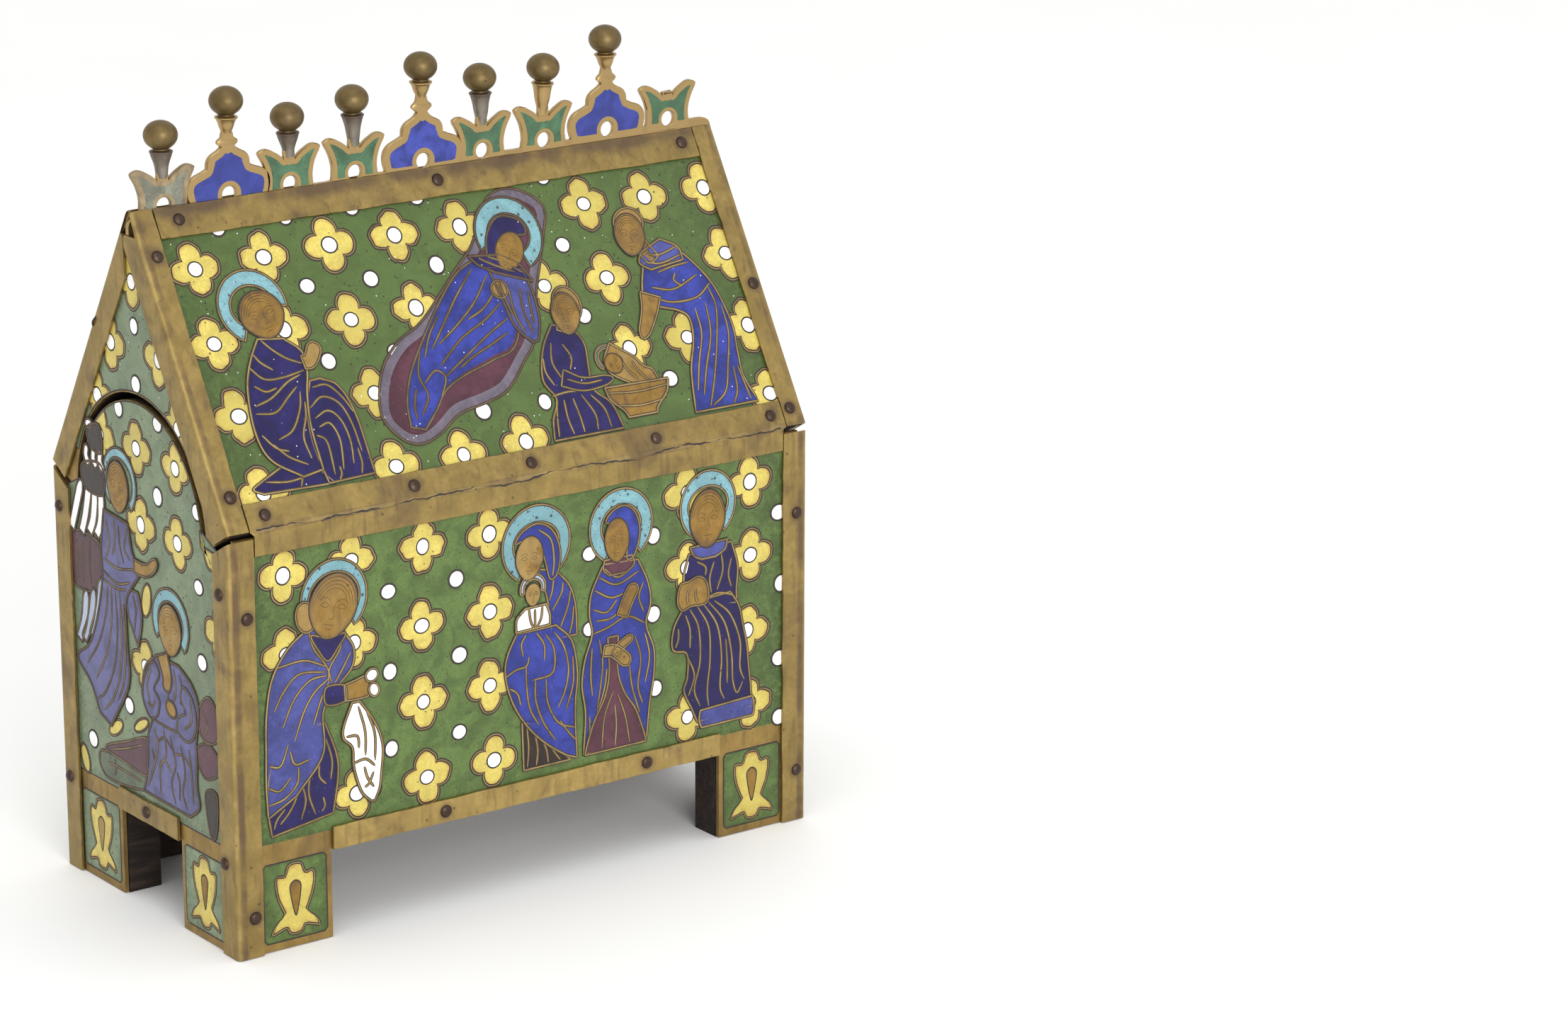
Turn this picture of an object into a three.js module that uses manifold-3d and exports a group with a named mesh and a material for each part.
// A house-shaped reliquary casket: a wooden box on four feet under a lift-off gabled lid, faced with
// enamelled metal plates that are held by nailed brass straps, with a pierced crest and turned knobs.
// Millimetres, +Z up, +X along the ridge to the right, -Y to the front, origin under the middle of the feet.

import * as THREE from "three";
import { mergeVertices } from "three/addons/utils/BufferGeometryUtils.js";
import Module from "manifold-3d";

const wasm = await Module();
wasm.setup();

// Overall sizes
const WIDTH = 190; // over the straps, along the ridge
const DEPTH = 94; // over the straps, front to back
const POST_TOP = 117; // top of the corner straps
const EAVE_UP = 2.2; // lower edge of the lid's slopes, above the corner straps
const ROOF_RISE = 80; // from there to where the two slopes would meet
const RIDGE_CUT = 8.5; // the lid's wood is planed flat this far below that, under the crest

// Thicknesses and clearances
const STRAP = 0.8;
const PLATE = 1.2;
const WALL = 10; // wooden walls of the body
const FLOOR = 8; // wooden floor
const ROOF_BOARD = 9; // wooden slopes of the lid
const GABLE_BOARD = 10; // wooden gables of the lid
const LAY = 0.3; // between pieces laid on or beside each other
const SOLE_GAP = 0.3; // plates and straps stop short of the soles

// Feet, and the arched ends that rise into the lid's gables
const FOOT_WIDTH = 30.2; // along X
const FOOT_DEPTH = 30.7; // along Y
const FOOT_HEIGHT = 25.5;
const ARCH_RADIUS = 32.5;
const ARCH_DROP = 4.5; // the arch's centre lies this far below the top of the corner straps
const ARCH_CLEARANCE = 2.2; // between the body's arch and the lid's arched cut
const ARCH_STEPS = 28;

// Straps
const CORNER_LONG_LEG = 8.2; // on the front and back
const CORNER_END_LEG = 8.2; // on the ends
const BOTTOM_STRAP = 6.5;
const RAKE_ROOF_LEG = 7;
const RAKE_GABLE_LEG = 8.1;
const RAKE_JOINT = 2.5; // where the two rake straps of a gable meet, behind the middle
const RIDGE_STRAP = 8.7;
const EAVE_ROOF_LEG = 7.7;
const APRON = 7.2; // hanging leg of the eave straps

// Domed nail heads, with the places where they were driven
const NAIL = { radius: 1.75, rise: 1.0, sink: 0.4, sides: 8 };
// On the corner straps: in from the corner, and up from the sole or, below zero, down from the top
const CORNER_NAILS = {
  front_left: { long: [[5.5, -21.5], [5.5, 11.5]], end: [[5, -15], [6, 26.5]] },
  front_right: { long: [[3.5, -24], [3.2, 15.5]], end: [[4.5, -17], [5, 25]] },
  back_left: { long: [[4.5, -22], [4, 13]], end: [[3, -11], [3.2, 27]] },
  back_right: { long: [[4, -20], [5, 14]], end: [[4, -14], [4.5, 24]] },
};
// On the bottom straps: from the strap's middle
const BOTTOM_NAILS = { front: [-28.5, 39], back: [-36, 30], left: [1], right: [-1.5] };
// On the rake straps: in from the gable's edge, and up the slope or, below zero, down from its top
const RAKE_NAILS = {
  front_left: [[4.5, -15.4], [4.5, 10]],
  front_right: [[3, 42.5], [4.2, 5]],
  back_left: [[3.5, -20], [4, 8]],
  back_right: [[4, -14], [3.5, 12]],
};
// On the ridge and eave straps: the outermost nails in from the gable's edge, the others from the middle
const RIDGE_NAILS = { left: 14, right: 12, between: [0.5], up: 4 };
const EAVE_NAILS = { left: 13, right: 11.5, between: [-35.5, 2.3, 44], up: 3.8 };

// Crest: one plate with a band that sits in a groove of the ridge, and a row of units on the band
const CREST = 1.6; // thickness of the plate
const GROOVE = 2.7; // depth of the groove in the lid's wood
const BAND_HEIGHT = 7.3; // over the planed ridge, at the middle of its length
const CREST_RISE = 3.6; // the band climbs this much from its left end to its right end
const BAND_DROP = 3; // the band's swept ends come down this far
const BAND_SWEEP = 4; // length of each swept end
const FIRST_UNIT = 11; // first unit's middle, in from the left end
const LAST_UNIT = 15; // last unit's middle, in from the right end
const UNIT_SINK = 2; // how far a unit's foot runs down into the band
const HOLE = { radius: 2.2, up: 1.2, sides: 14 };
const CURVE_STEPS = 5;
const PALMETTE = {
  base: 7.4, waist: 6.6, waistUp: 5, tip: 9.9, tipUp: 10.4, hornUp: 11.7, notch: 1.7, notchUp: 8,
};
const TREFOIL = {
  base: 12.2, lobe: 13.2, lobeUp: 7.8, waist: 7.2, waistUp: 8.8, shoulder: 6.3, apexUp: 14.2,
};
const STEM = { palmette: 12.7, trefoil: 18.8, root: 1.7, neck: 1.5 }; // lengths from the band, half widths
const KNOP = { half: 3.1, below: 2.8, rise: 1.6 }; // pointed swelling under a trefoil's neck
const TANG = { half: 0.8, length: 2.4 };
// Units from left to right, with the hand-cut differences in place and in stem length
const UNITS = [
  { kind: "palmette", shift: 0, stem: -0.8 },
  { kind: "trefoil", shift: -0.5, stem: -0.5 },
  { kind: "palmette", shift: -2, stem: -1.4 },
  { kind: "palmette", shift: -2, stem: 0.6 },
  { kind: "trefoil", shift: -0.5, stem: 0.5 },
  { kind: "palmette", shift: -1.5, stem: 0.8 },
  { kind: "palmette", shift: -1.5, stem: 0.8 },
  { kind: "trefoil", shift: -0.5, stem: -0.1 },
  { kind: "palmette", shift: 0, stem: null }, // broken off at the notch
];
const BROKEN_STEM = 0.6; // what is left of the lost stem above the notch

// Turned knobs: a flared collar with a socket for the tang, a neck and a flattened ball
const KNOB = {
  foot: 1.9, flare: 2.8, flareUp: 3.4, rim: 0.7, neck: 2.2, neckUp: 4.7,
  ball: 4.3, ballRise: 3.6, ballUp: 7.9, socket: 1.45, socketDepth: 2.8, sides: 14, ballSteps: 8,
};

// Planes worked out from the sizes above
const HALF_WIDTH = WIDTH / 2;
const HALF_DEPTH = DEPTH / 2;
const EAVE = POST_TOP + EAVE_UP;
const RIDGE = EAVE + ROOF_RISE;
const RIDGE_FLAT = RIDGE - RIDGE_CUT;
const ARCH_CENTRE = POST_TOP - ARCH_DROP;
const BAND_TOP = RIDGE_FLAT + BAND_HEIGHT;
const BAND_END = BAND_TOP - BAND_DROP;
const PLATE_DEPTH = STRAP + LAY; // how far the plates' faces lie in from the straps' faces
const WOOD_DEPTH = PLATE_DEPTH + PLATE + LAY; // and the wood's faces
const WOOD_X = HALF_WIDTH - WOOD_DEPTH;
const WOOD_Y = HALF_DEPTH - WOOD_DEPTH;
const INNER_X = WOOD_X - WALL;
const INNER_Y = WOOD_Y - WALL;
const FLOOR_TOP = FOOT_HEIGHT + FLOOR;
const RIM = POST_TOP; // the long walls' rim, level with the posts, carries the lid
const LID_FOOT = RIM + LAY;
const GAP_X = HALF_WIDTH - FOOT_WIDTH; // half the gap between the front feet
const GAP_Y = HALF_DEPTH - FOOT_DEPTH; // half the gap between the end feet
const SLOPE = Math.atan2(RIDGE - EAVE, HALF_DEPTH);
const CREST_CLEAR = CREST / 2 + LAY;
const PAST = 20; // how far cutting bodies run past what they cut

// Materials
function material(color, roughness, metalness) {
  return new THREE.MeshStandardMaterial({ color, roughness, metalness });
}

const FINISH = {
  wood: () => material(0x2a211b, 0.8, 0),
  enamel: () => material(0x4a7440, 0.25, 0.1),
  brass: () => material(0x84693c, 0.45, 0.9),
  gilt: () => material(0x8f7a4a, 0.4, 0.9),
  bronze: () => material(0x75603a, 0.35, 0.9),
};

// Solids from outlines

function toSolid(geometry) {
  const bare = geometry.clone();
  bare.deleteAttribute("normal");
  bare.deleteAttribute("uv");
  const merged = mergeVertices(bare, 1e-4);
  return new wasm.Manifold(new wasm.Mesh({
    numProp: 3,
    vertProperties: Float32Array.from(merged.attributes.position.array),
    triVerts: Uint32Array.from(merged.index.array),
  }));
}

function toGeometry(solid) {
  const mesh = solid.getMesh();
  const geometry = new THREE.BufferGeometry();
  geometry.setAttribute("position", new THREE.BufferAttribute(Float32Array.from(mesh.vertProperties), 3));
  geometry.setIndex(new THREE.BufferAttribute(Uint32Array.from(mesh.triVerts), 1));
  geometry.computeVertexNormals();
  return geometry;
}

const shapeOf = (points) => new THREE.Shape(points.map(([a, b]) => new THREE.Vector2(a, b)));

function extrude(shape, length) {
  return new THREE.ExtrudeGeometry(shape, { depth: length, bevelEnabled: false, curveSegments: CURVE_STEPS });
}

// An outline in Y and Z, swept from x0 to x1
function alongX(points, x0, x1) {
  const yzx = new THREE.Matrix4().set(0, 0, 1, x0, 1, 0, 0, 0, 0, 1, 0, 0, 0, 0, 0, 1);
  return toSolid(extrude(shapeOf(points), x1 - x0).applyMatrix4(yzx));
}

// A shape in X and Z, swept from y0 to y1
function shapeAlongY(shape, y0, y1) {
  return toSolid(extrude(shape, y1 - y0).rotateX(Math.PI / 2).translate(0, y1, 0));
}

const alongY = (points, y0, y1) => shapeAlongY(shapeOf(points), y0, y1);

function block(x0, x1, y0, y1, z0, z1) {
  const box = new THREE.BoxGeometry(x1 - x0, y1 - y0, z1 - z0);
  return toSolid(box.translate((x0 + x1) / 2, (y0 + y1) / 2, (z0 + z1) / 2));
}

// Two faces of a sheet in rising order: the outer one, and the one its thickness further in
function sheet(outer, thickness) {
  const inner = outer - Math.sign(outer) * thickness;
  return [Math.min(outer, inner), Math.max(outer, inner)];
}

const joined = (solids) => solids.reduce((sum, solid) => sum.add(solid));

// The roof's slopes

// A point up the slope from the eave by s and in from the strap's face by depth; side is -1 in front
function onSlope(side, s, depth) {
  return [
    side * (HALF_DEPTH - s * Math.cos(SLOPE) - depth * Math.sin(SLOPE)),
    EAVE + s * Math.sin(SLOPE) - depth * Math.cos(SLOPE),
  ];
}

// How far up the slope a layer at this depth comes within y of the ridge's middle
const slopeAtY = (y, depth) => (HALF_DEPTH - depth * Math.sin(SLOPE) - y) / Math.cos(SLOPE);

// How far up the slope a layer at this depth reaches the height z
const slopeAtZ = (z, depth) => (z - EAVE + depth * Math.cos(SLOPE)) / Math.sin(SLOPE);

// A flat layer on one slope that ends in an upright cut beside the crest
function layerToCrest(side, s0, depth0, depth1) {
  return [
    onSlope(side, s0, depth0),
    onSlope(side, slopeAtY(CREST_CLEAR, depth0), depth0),
    onSlope(side, slopeAtY(CREST_CLEAR, depth1), depth1),
    onSlope(side, s0, depth1),
  ];
}

const SLOPE_LENGTH = slopeAtY(0, 0);

// The arched ends

// Where the line square to the slope through (HALF_DEPTH, top) meets a circle about the arch's centre
function shoulderAngle(top, radius) {
  const [ey, ez] = [HALF_DEPTH, top - ARCH_CENTRE];
  const [dy, dz] = [-Math.sin(SLOPE), -Math.cos(SLOPE)];
  const half = ey * dy + ez * dz;
  const t = -half - Math.sqrt(half * half - (ey * ey + ez * ez - radius * radius));
  return Math.atan2(ez + t * dz, ey + t * dy);
}

// Points of the arch from the front shoulder over the top to the back one
function archPoints(top, radius) {
  const start = shoulderAngle(top, radius);
  return Array.from({ length: ARCH_STEPS + 1 }, (_, i) => {
    const angle = Math.PI - start - ((Math.PI - 2 * start) * i) / ARCH_STEPS;
    return [radius * Math.cos(angle), ARCH_CENTRE + radius * Math.sin(angle)];
  });
}

// The end of the body, from its sole to its arch
function endOutline(sole) {
  const shoulder = POST_TOP - (HALF_DEPTH - WOOD_Y) / Math.tan(SLOPE);
  return [[WOOD_Y, shoulder], [WOOD_Y, sole], [-WOOD_Y, sole], [-WOOD_Y, shoulder],
    ...archPoints(POST_TOP, ARCH_RADIUS)];
}

// The gable of the lid, with the arched cut
function gableOutline() {
  const top = slopeAtZ(RIDGE_FLAT, WOOD_DEPTH);
  return [onSlope(1, 0, WOOD_DEPTH), onSlope(1, top, WOOD_DEPTH), onSlope(-1, top, WOOD_DEPTH),
    onSlope(-1, 0, WOOD_DEPTH), ...archPoints(EAVE, ARCH_RADIUS + ARCH_CLEARANCE)];
}

// Nail heads

function nailHead([x, y, z], outward) {
  const profile = [
    [0, -NAIL.sink], [NAIL.radius * 0.9, -NAIL.sink], [NAIL.radius, NAIL.rise * 0.15],
    [NAIL.radius * 0.68, NAIL.rise * 0.75], [0, NAIL.rise],
  ].map(([r, up]) => new THREE.Vector2(r, up));
  const head = new THREE.LatheGeometry(profile, NAIL.sides);
  const turn = new THREE.Quaternion().setFromUnitVectors(new THREE.Vector3(0, 1, 0), outward);
  return toSolid(head.applyQuaternion(turn).translate(x, y, z));
}

const facingY = (side) => new THREE.Vector3(0, side, 0);
const facingX = (end) => new THREE.Vector3(end, 0, 0);
const facingSlope = (side) => new THREE.Vector3(0, side * Math.sin(SLOPE), Math.cos(SLOPE));

// Body

function bodyCarcass() {
  const ends = alongX(endOutline(0), -WOOD_X, WOOD_X);
  const walls = block(-INNER_X, INNER_X, -WOOD_Y, WOOD_Y, 0, RIM);
  const inside = block(-INNER_X, INNER_X, -INNER_Y, INNER_Y, FLOOR_TOP, RIDGE);
  const underFloor = block(-INNER_X, INNER_X, -INNER_Y, INNER_Y, -PAST, FOOT_HEIGHT);
  const frontToBack = block(-GAP_X, GAP_X, -HALF_DEPTH, HALF_DEPTH, -PAST, FOOT_HEIGHT);
  const endToEnd = block(-HALF_WIDTH, HALF_WIDTH, -GAP_Y, GAP_Y, -PAST, FOOT_HEIGHT);
  return ends.add(walls).subtract(joined([inside, underFloor, frontToBack, endToEnd]));
}

// Front or back plate, with two foot panels
function longPlate(side) {
  const outline = [
    [-WOOD_X, SOLE_GAP], [-GAP_X, SOLE_GAP], [-GAP_X, FOOT_HEIGHT], [GAP_X, FOOT_HEIGHT],
    [GAP_X, SOLE_GAP], [WOOD_X, SOLE_GAP], [WOOD_X, RIM], [-WOOD_X, RIM],
  ];
  return alongY(outline, ...sheet(side * (HALF_DEPTH - PLATE_DEPTH), PLATE));
}

// Left or right plate, with an arched top and two foot panels
function endPlate(end) {
  const plate = alongX(endOutline(SOLE_GAP), ...sheet(end * (HALF_WIDTH - PLATE_DEPTH), PLATE));
  return plate.subtract(block(-HALF_WIDTH, HALF_WIDTH, -GAP_Y, GAP_Y, -PAST, FOOT_HEIGHT));
}

const nailHeight = (up) => (up < 0 ? POST_TOP + up : up);

// Folded strap on one upright corner; its end leg is cut along the lid's slanted foot
function cornerStrap(end, side, nails) {
  const [x, y] = [end * HALF_WIDTH, side * HALF_DEPTH];
  const innerY = side * (HALF_DEPTH - CORNER_END_LEG);
  const drop = (width) => POST_TOP - width / Math.tan(SLOPE);
  const longLeg = block(...sheet(x, CORNER_LONG_LEG), ...sheet(y, STRAP), SOLE_GAP, drop(STRAP));
  const outline = [[innerY, SOLE_GAP], [y, SOLE_GAP], [y, POST_TOP], [innerY, drop(CORNER_END_LEG)]];
  const endLeg = alongX(outline, ...sheet(x, STRAP));
  const longNails = nails.long.map(([inward, up]) =>
    nailHead([x - end * inward, y, nailHeight(up)], facingY(side)));
  const endNails = nails.end.map(([inward, up]) =>
    nailHead([x, y - side * inward, nailHeight(up)], facingX(end)));
  return joined([longLeg, endLeg, ...longNails, ...endNails]);
}

// Strap over the gap between two feet on the front or back
function longBottomStrap(side, nails) {
  const half = GAP_X - LAY;
  const y = side * HALF_DEPTH;
  const strip = block(-half, half, ...sheet(y, STRAP), FOOT_HEIGHT, FOOT_HEIGHT + BOTTOM_STRAP);
  const middle = FOOT_HEIGHT + BOTTOM_STRAP / 2;
  return joined([strip, ...nails.map((x) => nailHead([x, y, middle], facingY(side)))]);
}

// Strap over the gap between two feet on an end
function endBottomStrap(end, nails) {
  const half = GAP_Y - LAY;
  const x = end * HALF_WIDTH;
  const strip = block(...sheet(x, STRAP), -half, half, FOOT_HEIGHT, FOOT_HEIGHT + BOTTOM_STRAP);
  const middle = FOOT_HEIGHT + BOTTOM_STRAP / 2;
  return joined([strip, ...nails.map((y) => nailHead([x, y, middle], facingX(end)))]);
}

// Lid

function lidCarcass() {
  const innerX = WOOD_X - GABLE_BOARD;
  const boardDepth = WOOD_DEPTH + ROOF_BOARD;
  const foot = (side, depth) => onSlope(side, slopeAtZ(LID_FOOT, depth), depth);
  const top = slopeAtZ(RIDGE_FLAT, WOOD_DEPTH);
  const slopes = alongX([
    foot(1, WOOD_DEPTH), onSlope(1, top, WOOD_DEPTH), onSlope(-1, top, WOOD_DEPTH), foot(-1, WOOD_DEPTH),
    foot(-1, boardDepth), onSlope(1, slopeAtY(0, boardDepth), boardDepth), foot(1, boardDepth),
  ], -innerX, innerX);
  const gables = [alongX(gableOutline(), -WOOD_X, -innerX), alongX(gableOutline(), innerX, WOOD_X)];
  const groove = block(-HALF_WIDTH, HALF_WIDTH, -CREST_CLEAR, CREST_CLEAR, RIDGE_FLAT - GROOVE, RIDGE);
  return joined([slopes, ...gables]).subtract(groove);
}

function roofPlate(side) {
  const outline = layerToCrest(side, LAY * 2, PLATE_DEPTH, PLATE_DEPTH + PLATE);
  return alongX(outline, -WOOD_X, WOOD_X);
}

function gablePlate(end) {
  return alongX(gableOutline(), ...sheet(end * (HALF_WIDTH - PLATE_DEPTH), PLATE));
}

// Folded strap along one sloping edge of a gable
function rakeStrap(end, side, nails) {
  const x = end * HALF_WIDTH;
  const roofLeg = alongX(layerToCrest(side, 0, 0, STRAP), ...sheet(x, RAKE_ROOF_LEG));
  const joint = RAKE_JOINT + side * (LAY / 2);
  const jointFoot = onSlope(1, slopeAtY(RAKE_JOINT, RAKE_GABLE_LEG), RAKE_GABLE_LEG)[1];
  const outline = [
    onSlope(side, 0, 0), onSlope(side, slopeAtZ(RIDGE_FLAT, 0), 0), [joint, RIDGE_FLAT],
    [joint, jointFoot], onSlope(side, 0, RAKE_GABLE_LEG),
  ];
  const gableLeg = alongX(outline, ...sheet(x, STRAP));
  const heads = nails.map(([inward, up]) => {
    const [y, z] = onSlope(side, up < 0 ? SLOPE_LENGTH + up : up, 0);
    return nailHead([x - end * inward, y, z], facingSlope(side));
  });
  return joined([roofLeg, gableLeg, ...heads]);
}

// Nail heads along the ridge or the eave at one place up the slope
function rowOfNails(side, up, nails) {
  const [y, z] = onSlope(side, up, 0);
  const places = [-HALF_WIDTH + nails.left, ...nails.between, HALF_WIDTH - nails.right];
  return places.map((x) => nailHead([x, y, z], facingSlope(side)));
}

const betweenRakes = () => HALF_WIDTH - RAKE_ROOF_LEG - LAY;

function ridgeStrap(side) {
  const top = slopeAtY(CREST_CLEAR, 0);
  const strip = alongX(layerToCrest(side, top - RIDGE_STRAP, 0, STRAP), -betweenRakes(), betweenRakes());
  return joined([strip, ...rowOfNails(side, top - RIDGE_NAILS.up, RIDGE_NAILS)]);
}

// Folded strap on the eave: one leg on the slope, one hanging in front of the body's rim
function eaveStrap(side) {
  const fold = onSlope(side, slopeAtY(HALF_DEPTH - STRAP, STRAP), STRAP);
  const [outer, inner] = [side * HALF_DEPTH, side * (HALF_DEPTH - STRAP)];
  const onRoof = [
    onSlope(side, 0, 0), onSlope(side, EAVE_ROOF_LEG, 0), onSlope(side, EAVE_ROOF_LEG, STRAP), fold,
  ];
  const hanging = [[outer, EAVE - APRON], onSlope(side, 0, 0), fold, [inner, EAVE - APRON]];
  const apronHalf = HALF_WIDTH - CORNER_LONG_LEG - LAY;
  return joined([
    alongX(onRoof, -betweenRakes(), betweenRakes()),
    alongX(hanging, -apronHalf, apronHalf),
    ...rowOfNails(side, EAVE_NAILS.up, EAVE_NAILS),
  ]);
}

// Crest

const bandTopAt = (x) => BAND_TOP + (CREST_RISE * x) / WIDTH;

function unitMiddle(index) {
  const pitch = (WIDTH - FIRST_UNIT - LAST_UNIT) / (UNITS.length - 1);
  return -HALF_WIDTH + FIRST_UNIT + pitch * index + UNITS[index].shift;
}

// The band: a tongue in the groove, and a strip between the ridge straps with swept ends
function crestBand() {
  const foot = RIDGE_FLAT + LAY;
  const tongueX = WOOD_X - LAY;
  const tongueZ = RIDGE_FLAT - GROOVE + LAY;
  const shape = new THREE.Shape();
  const left = -HALF_WIDTH;
  const right = HALF_WIDTH;
  shape.moveTo(left, foot);
  shape.lineTo(-tongueX, foot);
  shape.lineTo(-tongueX, tongueZ);
  shape.lineTo(tongueX, tongueZ);
  shape.lineTo(tongueX, foot);
  shape.lineTo(right, foot);
  shape.lineTo(right, BAND_END);
  const [innerRight, innerLeft] = [right - BAND_SWEEP, left + BAND_SWEEP];
  shape.quadraticCurveTo(innerRight, BAND_END + 1, innerRight, bandTopAt(innerRight));
  shape.lineTo(innerLeft, bandTopAt(innerLeft));
  shape.quadraticCurveTo(innerLeft, BAND_END, left, BAND_END - 0.5);
  return shapeAlongY(shape, -CREST / 2, CREST / 2);
}

// Half of a unit's outline is drawn by a function of the pen and of the side it is on
function mirrored(drawHalf, foot) {
  const left = new THREE.Path();
  const right = new THREE.Path();
  drawHalf(left, -1);
  drawHalf(right, 1);
  const points = [...left.getPoints(CURVE_STEPS), ...right.getPoints(CURVE_STEPS).reverse()];
  return [[-foot, -UNIT_SINK], ...points.map((p) => [p.x, p.y]), [foot, -UNIT_SINK]];
}

// Two horns that curl outwards, with a notch between them
function palmetteHalf(pen, side) {
  const p = PALMETTE;
  pen.moveTo(side * p.base, 0);
  pen.quadraticCurveTo(side * p.waist * 0.93, p.waistUp, side * p.tip, p.tipUp);
  pen.quadraticCurveTo(side * (p.tip - 2), p.hornUp + 0.9, side * (p.tip - 5), p.hornUp - 1.2);
  pen.quadraticCurveTo(side * (p.notch + 1.4), p.notchUp + 1.6, side * p.notch, p.notchUp);
}

// A low side lobe and a tall middle lobe
function trefoilHalf(pen, side) {
  const t = TREFOIL;
  pen.moveTo(side * t.base, 0);
  pen.quadraticCurveTo(side * (t.lobe + 1), t.lobeUp * 0.75, side * (t.lobe - 3), t.lobeUp);
  pen.quadraticCurveTo(side * (t.waist + 1.6), t.waistUp, side * t.waist, t.waistUp);
  pen.quadraticCurveTo(side * (t.shoulder + 0.9), t.apexUp - 2.2, side * (t.shoulder - 2.6), t.apexUp - 1.2);
  pen.quadraticCurveTo(side * (STEM.root + 0.5), t.apexUp - 0.4, side * STEM.root, t.apexUp);
}

// A plain stem that narrows to its neck
function palmetteStem(length) {
  const root = PALMETTE.notchUp - 1;
  return [[-STEM.root, root], [STEM.root, root], [STEM.neck, length], [-STEM.neck, length]];
}

// A stem with a pointed knop below its neck
function trefoilStem(length) {
  const root = TREFOIL.apexUp - 1;
  const knop = length - KNOP.below;
  const half = (side) => [
    [side * STEM.root, root], [side * STEM.neck, knop - KNOP.rise], [side * KNOP.half, knop],
    [side * STEM.neck, knop + KNOP.rise], [side * STEM.neck, length],
  ];
  return [...half(-1), ...half(1).reverse()];
}

const stemTop = ({ kind, stem }) => (stem === null ? PALMETTE.notchUp + BROKEN_STEM : STEM[kind] + stem);

// One unit of the crest about its own middle, with the band's top at height zero
function crestUnit(unit) {
  const isTrefoil = unit.kind === "trefoil";
  const outline = isTrefoil ? mirrored(trefoilHalf, TREFOIL.base) : mirrored(palmetteHalf, PALMETTE.base);
  const top = stemTop(unit);
  const stem = isTrefoil ? trefoilStem(top) : palmetteStem(top);
  const pieces = [outline, stem];
  if (unit.stem !== null) {
    const { half, length } = TANG;
    pieces.push([[-half, top - 1], [half, top - 1], [half, top + length], [-half, top + length]]);
  }
  return joined(pieces.map((points) => alongY(points, -CREST / 2, CREST / 2)));
}

function roundHole() {
  return toSolid(new THREE.CylinderGeometry(HOLE.radius, HOLE.radius, PAST, HOLE.sides));
}

function crest() {
  const placed = (solid, index, up) => {
    const x = unitMiddle(index);
    return solid.translate([x, 0, bandTopAt(x) + up]);
  };
  const units = UNITS.map((unit, index) => placed(crestUnit(unit), index, 0));
  const holes = UNITS.map((_, index) => placed(roundHole(), index, HOLE.up));
  return joined([crestBand(), ...units]).subtract(joined(holes));
}

// Knobs

function knobGeometry() {
  const k = KNOB;
  const collar = [[0, k.socketDepth], [k.socket, k.socketDepth], [k.socket, 0], [k.foot, 0],
    [k.flare, k.flareUp], [k.flare, k.flareUp + k.rim], [k.neck, k.neckUp]];
  const start = -Math.acos(k.neck / k.ball);
  const ball = Array.from({ length: k.ballSteps }, (_, i) => {
    const angle = start + ((Math.PI / 2 - start) * (i + 1)) / k.ballSteps;
    return [i === k.ballSteps - 1 ? 0 : k.ball * Math.cos(angle), k.ballUp + k.ballRise * Math.sin(angle)];
  });
  const profile = [...collar, ...ball].map(([r, up]) => new THREE.Vector2(r, up));
  return new THREE.LatheGeometry(profile, k.sides).rotateX(Math.PI / 2);
}

// The casket's scene graph

function piece(group, name, solid, finish) {
  const mesh = new THREE.Mesh(toGeometry(solid), FINISH[finish]());
  mesh.name = name;
  group.add(mesh);
}

const SIDES = { front: -1, back: 1 };
const ENDS = { left: -1, right: 1 };

function buildBody() {
  const body = new THREE.Group();
  piece(body, "body_carcass", bodyCarcass(), "wood");
  for (const [sideName, side] of Object.entries(SIDES)) {
    piece(body, `${sideName}_plate`, longPlate(side), "enamel");
    piece(body, `${sideName}_bottom_strap`, longBottomStrap(side, BOTTOM_NAILS[sideName]), "brass");
    for (const [endName, end] of Object.entries(ENDS)) {
      const corner = `${sideName}_${endName}`;
      piece(body, `${corner}_corner_strap`, cornerStrap(end, side, CORNER_NAILS[corner]), "brass");
    }
  }
  for (const [endName, end] of Object.entries(ENDS)) {
    piece(body, `${endName}_end_plate`, endPlate(end), "enamel");
    piece(body, `${endName}_bottom_strap`, endBottomStrap(end, BOTTOM_NAILS[endName]), "brass");
  }
  return body;
}

function buildLid() {
  const lid = new THREE.Group();
  piece(lid, "lid_carcass", lidCarcass(), "wood");
  for (const [sideName, side] of Object.entries(SIDES)) {
    piece(lid, `${sideName}_roof_plate`, roofPlate(side), "enamel");
    piece(lid, `${sideName}_ridge_strap`, ridgeStrap(side), "brass");
    piece(lid, `${sideName}_eave_strap`, eaveStrap(side), "brass");
    for (const [endName, end] of Object.entries(ENDS)) {
      const corner = `${sideName}_${endName}`;
      piece(lid, `${corner}_rake_strap`, rakeStrap(end, side, RAKE_NAILS[corner]), "brass");
    }
  }
  for (const [endName, end] of Object.entries(ENDS)) {
    piece(lid, `${endName}_gable_plate`, gablePlate(end), "enamel");
  }
  piece(lid, "crest", crest(), "gilt");
  addKnobs(lid);
  return lid;
}

function addKnobs(lid) {
  UNITS.forEach((unit, index) => {
    if (unit.stem === null) return;
    const x = unitMiddle(index);
    const knob = new THREE.Mesh(knobGeometry(), FINISH.bronze());
    knob.name = `knob_${index + 1}`;
    knob.position.set(x, 0, bandTopAt(x) + stemTop(unit) + LAY);
    lid.add(knob);
  });
}

const casket = new THREE.Group();
casket.add(buildBody(), buildLid());

export default casket;
